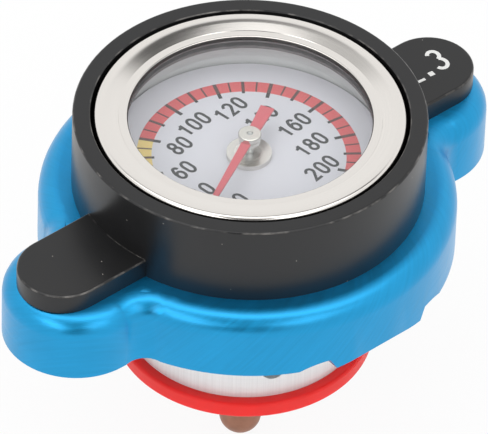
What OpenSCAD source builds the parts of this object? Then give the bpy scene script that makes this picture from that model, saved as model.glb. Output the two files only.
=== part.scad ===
// Radiator filler cap with a dial thermometer in its top and a pressure valve round its probe.
// The neck gasket's underside is at height 0, the axis is Z and the grip ears lie along X.

/* [Cap shell] */
// Radius of the round skirt
skirt_r = 31; // [30:0.5:33]
// Thickness of the pressed sheet
sheet_t = 1.2; // [0.9:0.1:1.5]
// Height of the shell from its lower edge to its flat top
shell_h = 10.5; // [9.5:0.5:13]
// Rounding of the shell's upper edge
edge_r = 3.2; // [2.6:0.1:4]
// Half the width of a shell ear
ear_w = 10.8; // [9.5:0.1:12]
// Distance from the axis to the end of a shell ear
ear_reach = 43.7; // [42:0.5:48]
// Rounding where an ear runs into the skirt
ear_root_r = 3.3; // [2.5:0.1:6]
// Width of a bayonet tab along its fold
tab_w = 16; // [12:0.5:18]
// Slope of a tab's ends, from its fold out to the relief's top
tab_flare = 1.2; // [0.6:0.1:2]
// Drop of a tab below the skirt's lower edge
tab_drop = 1; // [0.6:0.1:1.6]
// Depth of a tab inwards from the skirt's inner wall
tab_reach = 4.2; // [3:0.2:4.4]
// Outer radius of a tab's fold
tab_fold_r = 2.4; // [1.8:0.1:3]
// Height of the relief beside a tab
relief_h = 1.1; // [0.8:0.1:2]
// Length of the relief beside a tab
relief_l = 4.4; // [3:0.2:6]

/* [Gauge collar] */
// Wall of the collar round the gauge
collar_wall = 2.6; // [1.6:0.1:3]
// Thickness of the collar's floor
collar_floor_t = 2; // [1.9:0.1:3]
// Half the width of a collar ear
collar_ear_w = 6.6; // [5.5:0.1:8]
// Step from the end of a shell ear back to the end of the collar's ear
ear_step = 1.5; // [1:0.1:3]
// Thickness of a collar ear
collar_ear_t = 3.2; // [2.8:0.1:4]
// Rounding of the collar's edges
collar_edge_r = 0.35; // [0.2:0.05:0.8]
// Gap between the collar and the bezel
collar_gap = 0.5; // [0.3:0.1:1.2]
// Radius of the screws that hold the collar
screw_r = 1.5; // [1.2:0.1:2]

/* [Gauge] */
// Outer radius of the bezel
bezel_r = 23; // [22.5:0.1:24]
// Width of the bezel round the window
bezel_w = 5.05; // [4.6:0.05:6]
// Thickness of the bezel's sheet
bezel_t = 0.6; // [0.5:0.05:0.8]
// Height of the bezel's face over the glass channel
bezel_rise = 1.2; // [1:0.05:1.6]
// Height of the bezel over the collar's rim
bezel_proud = 0.05; // [0:0.05:1]
// Thickness of the glass
lens_t = 1.4; // [1:0.1:2]
// Thickness of the rubber above and below the glass
channel_t = 0.5; // [0.35:0.05:0.7]
// Height of the window over the dial
window_h = 5.2; // [4.8:0.1:7]
// Thickness of the case's sheet
case_t = 0.5; // [0.4:0.05:0.8]
// Gap between the dial and the case's wall
dial_gap = 0.4; // [0.1:0.05:1]
// Thickness of the dial
dial_t = 0.5; // [0.4:0.05:1]
// Height of the case's pad under the dial
dial_pad_h = 0.4; // [0.3:0.1:1.5]
// Radius of the boss on the dial
boss_r = 3.35; // [3:0.05:4]
// Height of the boss over the dial
boss_h = 0.8; // [0.6:0.1:1.5]

/* [Pointer] */
// Distance from the pointer's tip to the dial's edge
pointer_gap = 5.2; // [4.2:0.1:7.6]
// Length of the pointer's tail
tail_l = 7.3; // [5:0.1:9]
// Half the width of the pointer beside its hub
pointer_w = 0.75; // [0.6:0.05:0.9]
// Half the width of the pointer at its tip
tip_w = 0.4; // [0.2:0.05:0.5]
// Half the width of the tail's end
tail_w = 1.07; // [0.8:0.01:1.3]
// Thickness of the pointer
pointer_t = 0.3; // [0.2:0.05:0.4]
// Height of the pointer over the dial
pointer_rise = 3.35; // [2.6:0.05:3.5]
// Direction of the pointer, which reads about 26 degrees on the dial
pointer_turn = 208.5; // [200:0.5:217]
// Radius of the pointer's hub
hub_r = 1.7; // [1.5:0.05:2]
// Height of the hub over the pointer
hub_h = 0.8; // [0.6:0.05:1]
// Radius of the spindle
spindle_r = 0.6; // [0.5:0.05:0.7]

/* [Probe and bush] */
// Radius of the probe tube
probe_r = 3.2; // [3:0.05:3.6]
// Wall of the probe tube
probe_wall = 0.6; // [0.5:0.05:0.8]
// Reach of the probe below the neck's rim
probe_reach = 46.1; // [40:0.1:60]
// Radius of the bush's shank
bush_r = 5.5; // [5:0.1:6]
// Radius of the bush's flange
bush_flange_r = 8.5; // [7.5:0.1:10]
// Thickness of the bush's flange
bush_flange_t = 0.8; // [0.7:0.1:1.5]
// Step from the nut's corners out to its round collar
nut_rim = 0.5; // [0.3:0.1:1]
// Height of the nut's round collar
nut_collar_h = 2; // [1.8:0.1:3]
// Width of the nut across its flats
nut_flats = 13; // [12.5:0.5:14]
// Height of the nut's hexagon
nut_h = 3; // [2:0.2:5]
// Thickness of the ring that seals the bush
o_ring_d = 1.46; // [1.2:0.02:1.6]

/* [Neck seal] */
// Thickness of the neck gasket
gasket_t = 2.4; // [2:0.1:3]
// Width of the neck gasket
gasket_w = 4.5; // [3.5:0.1:5.5]
// Width of the diaphragm spring outside the neck gasket
gasket_step = 1.8; // [0.5:0.1:2.4]
// Thickness of the diaphragm spring
diaphragm_t = 0.5; // [0.4:0.05:0.8]
// Gap between the diaphragm spring and the shell's rounded edge
diaphragm_gap = 1; // [0.6:0.1:2]

/* [Pressure valve] */
// Reach of the red seal's underside below the neck's rim
valve_reach = 25.7; // [24:0.1:30]
// Width of the red seal outside the valve cup
seal_lip = 1.7; // [1:0.1:2.5]
// Wall of the valve cup
cup_wall = 1; // [0.8:0.1:1.5]
// Distance of the valve cup's rim below the neck's rim
cup_drop = 5.7; // [5.3:0.1:9.7]
// Thickness of the cup's floor
cup_floor_t = 1.2; // [1:0.1:2]
// Radius of the cup's guide sleeve
sleeve_r = 5; // [4.6:0.1:5.4]
// Height of the cup's guide sleeve
sleeve_h = 4.5; // [3:0.1:7]
// Radius of a side vent
vent_r = 1.9; // [1.2:0.1:2.4]
// Height of the side vents over the cup's floor
vent_rise = 4.1; // [3.4:0.1:6]
// Number of side vents
vent_count = 6; // [4:1:8]
// Outer radius of the red seal
seal_r = 19.5; // [19:0.1:20]
// Thickness of the red seal
seal_t = 2.6; // [2.2:0.1:3.4]
// Inner radius of the red seal's thick rim
seal_rim_r = 13.1; // [12:0.1:14]
// Thickness of the red seal's web under the cup
seal_web_t = 1.2; // [1:0.1:1.6]
// Mean radius of the pressure spring
spring_r = 11.5; // [11:0.1:12]
// Wire of the pressure spring
spring_wire = 2.2; // [1.8:0.1:2.6]
// Turns of the pressure spring
spring_turns = 6; // [5:0.5:7]
// Thickness of the spring's turning seat
seat_t = 1; // [0.8:0.1:1.5]

/* [Vacuum valve] */
// Outer radius of the vacuum disc
vacuum_r = 9; // [8.6:0.1:9.6]
// Gap round the clip inside the vacuum disc and the cage's floor
clip_gap = 0.5; // [0.4:0.1:0.8]
// Thickness of the vacuum disc
vacuum_t = 0.8; // [0.6:0.1:1.2]
// Thickness of the vacuum valve's rubber ring
vacuum_seal_t = 0.9; // [0.6:0.1:1.2]
// Sheet of the cage round the vacuum valve
cage_t = 0.6; // [0.5:0.05:0.8]
// Room in the cage for the vacuum spring
vacuum_room = 3.4; // [3:0.1:5]
// Wire of the vacuum spring
vacuum_wire = 0.7; // [0.5:0.05:0.8]
// Turns of the vacuum spring
vacuum_turns = 2; // [1.5:0.25:2]
// Radius of a hole in the cup's floor
port_r = 1.2; // [0.8:0.1:1.3]
// Number of holes in the cup's floor
port_count = 6; // [4:1:8]
// Outer radius of the clip on the probe
clip_r = 4.8; // [4.4:0.1:4.9]
// Thickness of the clip
clip_t = 0.8; // [0.6:0.1:1]

/* [Bimetal coil] */
// Mean radius of the coil
coil_r = 1.75; // [1.6:0.05:1.9]
// Thickness of the strip
strip_t = 0.3; // [0.2:0.05:0.4]
// Width of the strip
strip_w = 1.2; // [0.8:0.1:1.4]
// Rise of the coil in one turn
coil_pitch = 2.2; // [2:0.1:4]

/* [Clearances] */
// Radial clearance of a running fit
running_gap = 0.06; // [0.03:0.01:0.09]
// Clearance of a fixed fit
fit_gap = 0.02; // [0.01:0.01:0.05]
// Gap between faces that part as a valve moves
seat_gap = 0.05; // [0.03:0.01:0.1]
// Gap over the turning spring seat
swivel_gap = 0.3; // [0.1:0.05:0.5]

/* [Hidden] */
$fn = 96;
edge_steps = 6;
cut_over = 1;
wire_sides = 6;
rings_per_turn = 8;

// Heights of the shell and what hangs from it
gasket_top_z = gasket_t;
shell_in_z = gasket_top_z + diaphragm_t;
shell_top_z = shell_in_z + sheet_t;
skirt_low_z = shell_top_z - shell_h;
tab_low_z = skirt_low_z - tab_drop;

// Heights of the gauge, from the bush's flange up to the collar's rim
flange_low_z = shell_top_z + collar_floor_t;
case_low_z = flange_low_z + bush_flange_t;
case_floor_z = case_low_z + case_t;
dial_low_z = case_floor_z + dial_pad_h;
dial_z = dial_low_z + dial_t;
channel_low_z = dial_z + window_h;
lens_low_z = channel_low_z + channel_t;
channel_top_z = lens_low_z + lens_t + channel_t;
bezel_top_z = channel_top_z + bezel_rise;
bezel_low_z = channel_low_z - case_t - bezel_t;
collar_top_z = bezel_top_z - bezel_proud;
pointer_z = dial_z + pointer_rise;
hub_top_z = pointer_z + pointer_t + hub_h;

// Heights of the valve at rest, against the clip
seal_top_z = seal_t - valve_reach;
cup_floor_z = seal_top_z + cup_floor_t;
cup_top_z = -cup_drop;
web_low_z = seal_top_z - seal_web_t;
vacuum_seal_low_z = seal_top_z - seat_gap - vacuum_seal_t;
vacuum_low_z = vacuum_seal_low_z - vacuum_t;
cage_floor_z = vacuum_low_z - vacuum_room;
nut_collar_z = gasket_top_z - nut_collar_h;
nut_low_z = nut_collar_z - nut_h;
seat_top_z = gasket_top_z - swivel_gap;
seat_low_z = seat_top_z - seat_t;

// Shell outline: each ear is a bar with a round end, blended into the skirt at its root
ear_x = ear_reach - ear_w;
root_bite = 0.12;
root_y = ear_w + ear_root_r - root_bite;
root_x = sqrt(pow(skirt_r + ear_root_r - root_bite, 2) - pow(root_y, 2));
root_turn = atan2(root_y, root_x);
fold_lap = 0.15;
relief_r = (pow(relief_l, 2) + pow(relief_h, 2)) / (2 * relief_h);
relief_top_z = skirt_low_z + relief_h;

// Neck seal
diaphragm_r = skirt_r - edge_r - diaphragm_gap;
gasket_out_r = diaphragm_r - gasket_step;
gasket_in_r = gasket_out_r - gasket_w;

// Collar
collar_ear_x = ear_reach - ear_step - collar_ear_w;
pocket_r = bezel_r + collar_gap;
collar_r = pocket_r + collar_wall;
rim_bevel = 0.15;
o_ring_r = bush_r + fit_gap + o_ring_d / 2;
screw_head_r = 2.8;
screw_head_h = 1.6;
screw_end_gap = 0.8;
screw_hole_r = screw_r + fit_gap;
screw_x = (diaphragm_r + ear_reach - sheet_t) / 2;
screw_top_z = shell_top_z + collar_ear_t - screw_end_gap;
socket_r = 1.5;
socket_depth = 0.8;

// Bezel, glass channel and case
window_r = bezel_r - bezel_w;
rim_r = bezel_r - bezel_t;
bezel_edge_r = 0.65;
bezel_flat = 0.6;
bezel_bend_r = 3.6;
bend_steps = edge_steps / 2;
bezel_slope = 16;
bezel_bend_x = bezel_r - bezel_edge_r - bezel_flat;
bezel_land = 1.45;
bezel_step_r = window_r + bezel_land;
bezel_fall = 0.5;
bezel_step_h = 0.06;
bezel_lip_r = 0.35;
bezel_step_z = bezel_top_z - bezel_fall;
bezel_lip_z = bezel_step_z - bezel_step_h;
channel_back = 0.25;
channel_in_r = window_r + channel_back;
lens_edge = 1.3;
lens_r = rim_r - lens_edge;
case_lip = 0.8;
case_r = rim_r - case_lip;
case_in_r = case_r - case_t;
dial_r = case_in_r - dial_gap;
pad_r = 6;
boss_shank_r = probe_r - probe_wall - fit_gap;
boss_drop = 1.4;
boss_low_z = nut_low_z - boss_drop;

// Pointer
hub_neck_r = 1;
hub_foot_step = 0.1;
hub_foot_r = hub_r - hub_foot_step;
hub_foot_h = 0.55;
hub_low_z = pointer_z - hub_foot_h;
spindle_step = 0.14;
spindle_tip_r = spindle_r - spindle_step;
spindle_sink = 0.25;
tip_point = 0.5;
pointer_l = dial_r - pointer_gap;

// Probe and bush
probe_end_z = probe_r - probe_reach;
probe_in_r = probe_r - probe_wall;
nut_corner_r = nut_flats / sqrt(3);
nut_collar_r = nut_corner_r + nut_rim;
bush_end = 0.6;
bush_low_z = nut_low_z - bush_end;
foot_r = 2;
foot_t = 0.6;
foot_rise = 1.4;
foot_low_z = probe_end_z + foot_rise;
coil_gap = 0.1;
coil_low_z = foot_low_z + foot_t + coil_gap;
coil_top_z = boss_low_z - coil_gap;
coil_turns = round((coil_top_z - coil_low_z - strip_w) / coil_pitch);
clip_depth = 0.3;
clip_in_r = probe_r - clip_depth;
clip_top_z = seal_top_z - seat_gap;
clip_hold = 0.4;
clip_mouth = 2 * (clip_in_r - clip_hold);

// Valve
cup_r = seal_r - seal_lip;
vacuum_in_r = clip_r + clip_gap;
port_ring_r = (vacuum_r + vacuum_in_r) / 2;
vent_turn = 3.6;
cage_in_r = vacuum_r + running_gap;
cage_out_r = cage_in_r + cage_t;
vacuum_seal_inset = 0.2;
vacuum_seal_in_r = vacuum_in_r + vacuum_seal_inset;
vacuum_seal_r = vacuum_r - vacuum_seal_inset;
vacuum_spring_inset = 1.2;
vacuum_spring_r = vacuum_r - vacuum_wire / 2 - vacuum_spring_inset;
seal_edge_r = 0.5;
seat_lip_h = 1.4;
seat_lip_t = 0.9;
seat_r = spring_r + spring_wire / 2 + fit_gap + seat_lip_t;

// Quarter-round of a convex upper edge that ends at the outer wall x and the top z
function edge_arc(r, x, z) = [
    for (i = [0:edge_steps]) [x - r + r * cos(90 * i / edge_steps), z - r + r * sin(90 * i / edge_steps)]
];

function reversed(list) = [for (i = [len(list) - 1:-1:0]) list[i]];

function half_profile(w, low, high, r) = concat([[0, low], [w, low]], edge_arc(r, w, high), [[0, high]]);

function bar_profile(w, low, high, r) = concat(
    [[-w, low], [w, low]],
    edge_arc(r, w, high),
    [for (p = reversed(edge_arc(r, w, high))) [-p[0], p[1]]]
);

// Round tool with a flared top, which leaves a hollow corner with the same edge rounding
function root_tool_profile(w, low, high, r) = concat(
    [[0, high + cut_over], [0, low - cut_over], [w, low - cut_over]],
    [for (p = edge_arc(r, w, high)) [2 * w - p[0], p[1]]],
    [[w + r, high + cut_over]]
);

module both_ends() for (side = [0, 180]) rotate(side) children();

module four_corners() both_ends() for (flip = [0, 1]) mirror([0, flip, 0]) children();

module ring(in_r, out_r, low, high) translate([0, 0, low]) linear_extrude(high - low) difference() {
    circle(out_r);
    circle(in_r);
}

module disc(r, low, high) translate([0, 0, low]) cylinder(r = r, h = high - low);

// Round body with two opposite ears and a rounded upper edge
module eared_disc(r, x, w, low, high, edge) {
    rotate_extrude() polygon(half_profile(r, low, high, edge));
    rotate([90, 0, 90]) linear_extrude(2 * x, center = true) polygon(bar_profile(w, low, high, edge));
    both_ends() translate([x, 0, 0]) rotate(-90)
        rotate_extrude(angle = 180) polygon(half_profile(w, low, high, edge));
}

// Shell outline filled to a height, drawn in from the outside by an inset
module shell_form(inset, low, high) difference() {
    edge = edge_r - inset;
    skirt_side = [cos(root_turn), sin(root_turn)];
    union() {
        eared_disc(skirt_r - inset, ear_x, ear_w - inset, low, high, edge);
        four_corners() translate([0, 0, low]) linear_extrude(high - low) polygon([
            [root_x, ear_w / 2], [root_x, ear_w], skirt_side * skirt_r, skirt_side * (skirt_r - ear_root_r)
        ]);
    }
    four_corners() translate([root_x, root_y, 0])
        rotate_extrude() polygon(root_tool_profile(ear_root_r + inset, low, high, edge));
}

module bayonet_flanges() translate([0, 0, tab_low_z]) linear_extrude(sheet_t) intersection() {
    circle(skirt_r - sheet_t / 2);
    difference() {
        square([tab_w + 2 * tab_flare, 2 * skirt_r], center = true);
        square([tab_w + 2 * relief_l, 2 * (skirt_r - sheet_t - tab_reach)], center = true);
    }
}

// Lower edge of the skirt: all but the tabs is cut back, with an arched relief at each tab's ends
module skirt_edge_tool() rotate([90, 0, 0]) linear_extrude(4 * skirt_r, center = true) difference() {
    union() {
        translate([-2 * ear_reach, tab_low_z - cut_over]) square([4 * ear_reach, tab_drop + cut_over]);
        for (side = [-1, 1])
            translate([side * (tab_w / 2 + tab_flare), relief_top_z - relief_r]) circle(relief_r);
    }
    slope = tab_flare / (relief_top_z - tab_low_z);
    low_x = tab_w / 2 - 2 * cut_over * slope;
    top_x = tab_w / 2 + tab_flare + cut_over * slope;
    polygon([
        [-low_x, tab_low_z - 2 * cut_over], [low_x, tab_low_z - 2 * cut_over],
        [top_x, relief_top_z + cut_over], [-top_x, relief_top_z + cut_over]
    ]);
}

// Rounds the straight fold along a tab's lower edge
module fold_tool() both_ends() rotate([90, 0, 90]) linear_extrude(2 * tab_w, center = true) difference() {
    fold_y = skirt_r + fold_lap - tab_fold_r;
    fold_h = tab_fold_r + cut_over - fold_lap;
    translate([fold_y, tab_low_z - cut_over]) square([tab_fold_r + cut_over, fold_h]);
    translate([fold_y, tab_low_z - fold_lap + tab_fold_r]) circle(tab_fold_r);
}

module cap_shell() color("#2f93d4") difference() {
    union() {
        difference() {
            shell_form(0, tab_low_z, shell_top_z);
            shell_form(sheet_t, tab_low_z - cut_over, shell_in_z);
        }
        bayonet_flanges();
    }
    skirt_edge_tool();
    fold_tool();
    disc(bush_r + fit_gap, shell_in_z - cut_over, shell_top_z + cut_over);
    both_ends() translate([screw_x, 0, 0]) disc(screw_hole_r, shell_in_z - cut_over, shell_top_z + cut_over);
}

module gauge_collar() color("#3a3a3c") difference() {
    union() {
        rotate_extrude() polygon(half_profile(collar_r, shell_top_z, collar_top_z, collar_edge_r));
        eared_disc(collar_r - collar_edge_r, collar_ear_x, collar_ear_w,
            shell_top_z, shell_top_z + collar_ear_t, collar_edge_r);
    }
    rotate_extrude() polygon([
        [0, flange_low_z], [pocket_r, flange_low_z], [pocket_r, collar_top_z - rim_bevel],
        [pocket_r + rim_bevel, collar_top_z], [pocket_r + rim_bevel, collar_top_z + cut_over],
        [0, collar_top_z + cut_over]
    ]);
    disc(bush_r + fit_gap, shell_top_z - cut_over, flange_low_z + cut_over);
    disc(bush_r + o_ring_d + 2 * fit_gap, shell_top_z - cut_over, shell_top_z + o_ring_d + fit_gap);
    both_ends() translate([screw_x, 0, 0]) disc(screw_hole_r, shell_top_z - cut_over, screw_top_z + fit_gap);
}

module collar_screws() color("#b9b9b6") both_ends() translate([screw_x, 0, 0]) difference() {
    union() {
        disc(screw_head_r, shell_in_z - screw_head_h, shell_in_z);
        disc(screw_r, shell_in_z - screw_head_h / 2, screw_top_z);
    }
    translate([0, 0, shell_in_z - screw_head_h])
        cylinder(r = socket_r, h = 2 * socket_depth, center = true, $fn = 6);
}

// Bezel rolled from sheet: a round rim, a flat that bends into a face falling inwards, a small step and a lip
module bezel_ring() color("#dcdad6") rotate_extrude() polygon(concat(
    [[case_r + fit_gap, bezel_low_z], [bezel_r, bezel_low_z]],
    edge_arc(bezel_edge_r, bezel_r, bezel_top_z),
    [for (i = [0:bend_steps]) let (a = bezel_slope * i / bend_steps)
        [bezel_bend_x - bezel_bend_r * sin(a), bezel_top_z - bezel_bend_r * (1 - cos(a))]],
    [[bezel_step_r, bezel_step_z], [bezel_step_r - bezel_step_h, bezel_lip_z]],
    [for (i = [0:edge_steps]) let (a = 90 + 90 * i / edge_steps)
        [window_r + bezel_lip_r * (1 + cos(a)), bezel_lip_z - bezel_lip_r * (1 - sin(a))]],
    [
        [window_r, channel_top_z], [rim_r, channel_top_z], [rim_r, bezel_low_z + bezel_t],
        [case_r + fit_gap, bezel_low_z + bezel_t]
    ]
));

module lens() color("#e6f0f4", 0.35) disc(lens_r, lens_low_z, lens_low_z + lens_t);

module lens_gasket() color("#232324") difference() {
    ring(channel_in_r, rim_r - fit_gap, channel_low_z, channel_top_z);
    disc(lens_r + fit_gap, lens_low_z, lens_low_z + lens_t);
}

module gauge_case() color("#b4b6b8") difference() {
    union() {
        disc(case_r, case_low_z, channel_low_z);
        disc(rim_r - fit_gap, channel_low_z - case_t, channel_low_z);
    }
    ring(pad_r, case_in_r, case_floor_z, channel_low_z + cut_over);
    disc(pad_r + fit_gap, dial_low_z, channel_low_z + cut_over);
    disc(probe_r + fit_gap, case_low_z - cut_over, dial_low_z + cut_over);
}

module dial_plate() color("#d5dbe2") ring(boss_shank_r + fit_gap, dial_r, dial_low_z, dial_z);

module dial_boss() color("#c9c7c2") difference() {
    union() {
        disc(boss_r, dial_z, dial_z + boss_h);
        disc(boss_shank_r, boss_low_z, dial_z + boss_h / 2);
    }
    disc(spindle_r + running_gap, boss_low_z - cut_over, dial_z + boss_h + cut_over);
}

module pointer() color("#d9505c") rotate(pointer_turn) translate([0, 0, pointer_z]) linear_extrude(pointer_t)
    difference() {
        union() {
            polygon([
                [0, -pointer_w], [pointer_l - tip_point, -tip_w], [pointer_l, 0],
                [pointer_l - tip_point, tip_w], [0, pointer_w], [-tail_l, tail_w], [-tail_l, -tail_w]
            ]);
            circle(hub_foot_r);
        }
        circle(hub_neck_r + fit_gap);
    }

module pointer_hub() color("#cfccc6") difference() {
    union() {
        rotate_extrude() polygon(half_profile(hub_r, pointer_z + pointer_t, hub_top_z, hub_h / 4));
        disc(hub_neck_r, hub_low_z + hub_foot_h / 2, pointer_z + pointer_t + hub_h / 2);
        disc(hub_foot_r, hub_low_z, pointer_z);
    }
    disc(spindle_tip_r + fit_gap, hub_low_z - cut_over, hub_top_z + cut_over);
}

module spindle() color("#aeb0b2") {
    disc(spindle_r, foot_low_z, hub_low_z);
    disc(spindle_tip_r, foot_low_z, hub_top_z - spindle_sink);
    disc(foot_r, foot_low_z, foot_low_z + foot_t);
}

// Centres of the rings of a coil that climbs at a steady rate
function coil_points(r, low, high, turns) = let (n = round(turns * rings_per_turn)) [
    for (i = [0:n]) [r * cos(360 * turns * i / n), r * sin(360 * turns * i / n), low + (high - low) * i / n]
];

// Least distance between stretches of a coil that are over half a turn apart, less the wire's height
function coil_gap_to_itself(points, height) = min([
    for (i = [0:len(points) - 1])
        for (j = [i + rings_per_turn / 2 + 1:1:len(points) - 1]) norm(points[i] - points[j])
]) - height;

// Unbroken wire along a coil, with an oval section of the given half sizes
module coil(points, half_in, half_up) {
    count = len(points);
    skin = [for (p = points) let (out = [p[0], p[1], 0] / norm([p[0], p[1]])) for (s = [0:wire_sides - 1])
        p + out * half_in * cos(360 * s / wire_sides) + [0, 0, half_up * sin(360 * s / wire_sides)]];
    function at(i, s) = i * wire_sides + s % wire_sides;
    walls = [for (i = [0:count - 2]) for (s = [0:wire_sides - 1]) for (half = [0, 1]) half == 0
        ? [at(i, s), at(i, s + 1), at(i + 1, s)]
        : [at(i, s + 1), at(i + 1, s + 1), at(i + 1, s)]];
    ends = [for (s = [1:wire_sides - 2]) for (far = [0, 1]) far == 0
        ? [at(0, 0), at(0, s + 1), at(0, s)]
        : [at(count - 1, 0), at(count - 1, s), at(count - 1, s + 1)]];
    polyhedron(skin, concat(walls, ends));
}

bimetal_points = coil_points(coil_r, coil_low_z + strip_w / 2, coil_top_z - strip_w / 2, coil_turns);
spring_points = coil_points(spring_r, cup_floor_z + seat_gap + spring_wire / 2,
    seat_low_z - fit_gap - spring_wire / 2, spring_turns);
vacuum_points = coil_points(vacuum_spring_r, cage_floor_z + fit_gap + vacuum_wire / 2,
    vacuum_low_z - seat_gap - vacuum_wire / 2, vacuum_turns);
echo(bimetal_coil_gap = coil_gap_to_itself(bimetal_points, strip_w));
echo(pressure_spring_gap = coil_gap_to_itself(spring_points, spring_wire));
echo(vacuum_spring_gap = coil_gap_to_itself(vacuum_points, vacuum_wire));

module bimetal_coil() color("#b08d57") coil(bimetal_points, strip_t / 2, strip_w / 2);

module probe_tube() color("#a8735c") difference() {
    union() {
        disc(probe_r, probe_end_z, dial_low_z);
        translate([0, 0, probe_end_z]) sphere(probe_r);
    }
    disc(probe_in_r, probe_end_z, dial_low_z + cut_over);
    translate([0, 0, probe_end_z]) sphere(probe_in_r);
    ring(clip_in_r, probe_r + cut_over, clip_top_z - clip_t - fit_gap, clip_top_z + fit_gap);
}

module stem_bush() color("#c4bfae") difference() {
    union() {
        disc(bush_flange_r, flange_low_z, case_low_z);
        disc(bush_r, bush_low_z, flange_low_z + bush_flange_t / 2);
    }
    disc(probe_r + fit_gap, bush_low_z - cut_over, case_low_z + cut_over);
}

module stem_nut() color("#bdb9ad") difference() {
    union() {
        disc(nut_collar_r, nut_collar_z, gasket_top_z);
        translate([0, 0, nut_low_z]) cylinder(r = nut_corner_r, h = nut_h + nut_collar_h / 2, $fn = 6);
    }
    disc(bush_r + fit_gap, nut_low_z - cut_over, gasket_top_z + cut_over);
}

module stem_o_ring() color("#1f1f20") translate([0, 0, shell_top_z + o_ring_d / 2])
    rotate_extrude() translate([o_ring_r, 0]) circle(o_ring_d / 2 - fit_gap);

module diaphragm_spring() color("#c6c8c9") ring(bush_r + fit_gap, diaphragm_r, gasket_top_z, shell_in_z);

module neck_gasket() color("#1c1c1d") ring(gasket_in_r, gasket_out_r, 0, gasket_top_z);

module spring_seat() color("#c2c4c5") {
    ring(nut_collar_r + running_gap, seat_r, seat_low_z, seat_top_z);
    ring(seat_r - seat_lip_t, seat_r, seat_low_z - seat_lip_h, seat_top_z);
}

module pressure_spring() color("#b3b5b6") coil(spring_points, spring_wire / 2, spring_wire / 2);

module valve_cup() color("#d3cec9") difference() {
    union() {
        difference() {
            disc(cup_r, seal_top_z, cup_top_z);
            disc(cup_r - cup_wall, cup_floor_z, cup_top_z + cut_over);
        }
        disc(sleeve_r, seal_top_z, cup_floor_z + sleeve_h);
    }
    disc(probe_r + running_gap, seal_top_z - cut_over, cup_floor_z + sleeve_h + cut_over);
    for (i = [0:vent_count - 1]) rotate(vent_turn + 360 * i / vent_count)
        translate([cup_r - 2 * cup_wall, 0, cup_floor_z + vent_rise])
            rotate([0, 90, 0]) cylinder(r = vent_r, h = 4 * cup_wall);
    for (i = [0:port_count - 1]) rotate(360 * i / port_count) translate([port_ring_r, 0, 0])
        disc(port_r, seal_top_z - cut_over, cup_floor_z + cut_over);
}

module pressure_seal() color("#e0302c") difference() {
    rotate_extrude() polygon(concat(
        edge_arc(seal_edge_r, seal_r, seal_top_z),
        [[cage_out_r + fit_gap, seal_top_z], [cage_out_r + fit_gap, seal_top_z - seal_t]],
        [for (p = reversed(edge_arc(seal_edge_r, seal_r, seal_top_z))) [p[0], 2 * seal_top_z - seal_t - p[1]]]
    ));
    disc(seal_rim_r, seal_top_z - seal_t - cut_over, web_low_z);
}

module seal_cage() color("#c8c9c8") {
    ring(cage_in_r, cage_out_r, cage_floor_z - cage_t, seal_top_z);
    ring(cage_in_r, seal_rim_r - fit_gap, web_low_z - cage_t, web_low_z);
    ring(vacuum_in_r, cage_out_r, cage_floor_z - cage_t, cage_floor_z);
}

module vacuum_disc() color("#c9a85c") ring(vacuum_in_r, vacuum_r, vacuum_low_z, vacuum_seal_low_z);

module vacuum_seal() color("#262627")
    ring(vacuum_seal_in_r, vacuum_seal_r, vacuum_seal_low_z, vacuum_seal_low_z + vacuum_seal_t);

module vacuum_spring() color("#b7b9ba") coil(vacuum_points, vacuum_wire / 2, vacuum_wire / 2);

module stem_clip() color("#9fa1a2") translate([0, 0, clip_top_z - clip_t]) linear_extrude(clip_t)
    difference() {
        circle(clip_r);
        circle(clip_in_r + fit_gap);
        translate([0, -clip_mouth / 2]) square([2 * clip_r, clip_mouth]);
    }

cap_shell();
gauge_collar();
collar_screws();
bezel_ring();
lens();
lens_gasket();
gauge_case();
dial_plate();
dial_boss();
pointer();
pointer_hub();
spindle();
bimetal_coil();
probe_tube();
stem_bush();
stem_nut();
stem_o_ring();
diaphragm_spring();
neck_gasket();
spring_seat();
pressure_spring();
valve_cup();
pressure_seal();
seal_cage();
vacuum_disc();
vacuum_seal();
vacuum_spring();
stem_clip();
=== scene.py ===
"""Dresses the radiator cap thermometer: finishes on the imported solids, the dial's print, and a plain studio."""
import math

import bmesh
import bpy
from bpy.props import FloatProperty, FloatVectorProperty, IntProperty, PointerProperty
from mathutils import Matrix, Vector


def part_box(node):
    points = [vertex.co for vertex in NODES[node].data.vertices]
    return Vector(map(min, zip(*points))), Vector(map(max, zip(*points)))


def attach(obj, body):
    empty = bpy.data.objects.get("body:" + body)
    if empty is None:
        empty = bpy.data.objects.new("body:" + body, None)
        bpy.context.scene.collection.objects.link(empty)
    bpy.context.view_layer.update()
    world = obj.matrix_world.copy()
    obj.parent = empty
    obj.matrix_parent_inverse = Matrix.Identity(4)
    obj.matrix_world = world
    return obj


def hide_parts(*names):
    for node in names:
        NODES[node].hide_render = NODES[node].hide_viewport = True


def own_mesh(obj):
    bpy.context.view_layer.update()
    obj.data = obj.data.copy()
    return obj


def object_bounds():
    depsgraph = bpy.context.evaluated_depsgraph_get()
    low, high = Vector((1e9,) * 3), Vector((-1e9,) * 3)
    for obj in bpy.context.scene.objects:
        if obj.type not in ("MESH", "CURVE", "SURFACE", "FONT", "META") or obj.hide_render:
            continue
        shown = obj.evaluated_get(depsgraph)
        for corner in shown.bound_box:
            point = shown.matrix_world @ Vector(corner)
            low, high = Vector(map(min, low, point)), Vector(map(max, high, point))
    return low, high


bl_info = {
    "name": "Radiator Cap Thermometer",
    "version": (1, 0, 0),
    "blender": (4, 5, 0),
    "location": "View3D > Sidebar > Cap",
    "description": "Finishes, dial print and studio for a filler cap with a dial thermometer",
    "category": "Object",
}

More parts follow.
